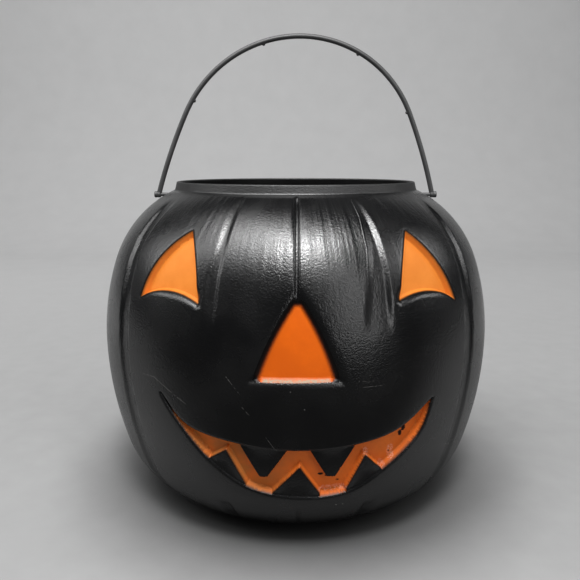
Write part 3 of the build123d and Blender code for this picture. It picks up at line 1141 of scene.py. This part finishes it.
def build_stage():
    front, back, sweep, top, half_width = -1000.0, 850.0, 450.0, 1600.0, 1500.0
    profile = [(y, 0.0) for y in np.linspace(front, back, 15)]
    profile += [(back + sweep * sin(a), sweep * (1.0 - cos(a))) for a in np.linspace(0.1, pi / 2.0, 12)]
    profile += [(back + sweep, top)]
    across = np.linspace(-half_width, half_width, 13)
    points = [(x, y, z) for y, z in profile for x in across]
    cells = np.arange(len(points)).reshape(len(profile), len(across))
    corners = (cells[:-1, :-1], cells[:-1, 1:], cells[1:, 1:], cells[1:, :-1])
    return make_mesh("stage", points, np.stack(corners, axis=-1).reshape(-1, 4))


def pale_floor():
    """Pale, painted lighter towards the back, with a painted shadow right under the pail, and dark where
    the pail's gloss mirrors its front part.
    """
    nodes = material_nodes("pale_floor")
    # Painted light: the floor is darker near the front and lighter towards the back, making up for the
    # lamps' light falling off far back.
    fore = nodes.mix(nodes.noise(60.0, 4.0), grey(0.34), grey(0.39))
    far = nodes.mix(nodes.noise(25.0, 4.0), grey(0.61), grey(0.67))
    floor = nodes.mix(nodes.between(nodes.y, 0.0, 0.95), fore, far)
    # Painted shadow: the floor's colour turns near black within a short reach of the pail's axis.
    away = nodes.vector("LENGTH", nodes.spots)["Value"]
    floor = nodes.mix(nodes.between(away, 0.155, 0.065, 0.0, 0.9), floor, grey(0.03))
    mirrored = nodes.add("LightPath").outputs["Is Glossy Ray"]
    front = nodes.between(nodes.y, -0.10, -0.135, 0.4, 1.0)
    dark = nodes.times(mirrored, nodes.minus(front, nodes.between(nodes.y, 0.1, 0.4, 0.0, 0.4)))
    return nodes.finished(nodes.mix(dark, floor, grey(0.03)), 0.95, 0.1)


stage = build_stage()
stage.data.materials.append(pale_floor())


# Light

def lamp(name, spot, target, size, watts):
    data = bpy.data.lights.new(name, "AREA")
    data.shape = "RECTANGLE"
    data.size, data.size_y = size
    data.energy = watts
    light = bpy.data.objects.new(name, data)
    light.location = spot
    light.rotation_euler = (Vector(target) - Vector(spot)).to_track_quat("-Z", "Y").to_euler()
    scene.collection.objects.link(light)


def studio_world():
    """Dim all round, and pale where the camera itself looks past the stage."""
    nodes = Nodes(bpy.data.worlds.new("studio"))
    seen = nodes.add("LightPath").outputs["Is Camera Ray"]
    sky = nodes.mix(seen, colour(0.036, 0.037, 0.039), grey(0.48))
    nodes.fill(nodes.tree.nodes["Background"], {"Color": sky})
    return nodes.owner


pail_middle = (0.0, 0.0, 0.12)
lamp("overhead", (-0.25, -0.48, 1.3), pail_middle, (2.0, 0.95), 15.4)
lamp("core", (0.03, -0.70, 1.30), (0.0, -0.09, 0.15), (0.28, 0.28), 10.4)
lamp("left_core", (-0.42, -0.45, 1.32), (0.0, -0.06, 0.15), (0.28, 0.28), 2.6)
lamp("right_core", (0.42, -0.45, 1.32), (0.0, -0.06, 0.15), (0.22, 0.22), 0.9)
lamp("left_panel", (-1.15, -0.05, 0.75), pail_middle, (0.6, 0.5), 2.7)
lamp("right_panel", (1.15, -0.10, 0.75), pail_middle, (0.6, 0.5), 2.4)
lamp("right_strip", (0.62, -0.95, 0.5), pail_middle, (0.25, 0.8), 1.6)
scene.world = studio_world()


# Camera

focal_pixels = 600.0
image_pixels = 580.0
camera_distance = 347.5
camera_height = 182.2
camera_pitch = 11.91
camera_orbit = -0.6
axis_offset_pixels = 5.4

camera_data = bpy.data.cameras.new("camera")
camera_data.sensor_width = 36.0
camera_data.sensor_fit = "HORIZONTAL"
camera_data.lens = 36.0 * focal_pixels / image_pixels
camera_data.clip_start = 0.01
camera = bpy.data.objects.new("camera", camera_data)
orbit = radians(camera_orbit)
reach = camera_distance * MM
camera.location = (sin(orbit) * reach, -cos(orbit) * reach, camera_height * MM)
yaw = orbit + atan2(axis_offset_pixels, focal_pixels)
camera.rotation_euler = (radians(90.0 - camera_pitch), 0.0, yaw)
scene.collection.objects.link(camera)
scene.camera = camera
scene.view_settings.view_transform = "Standard"
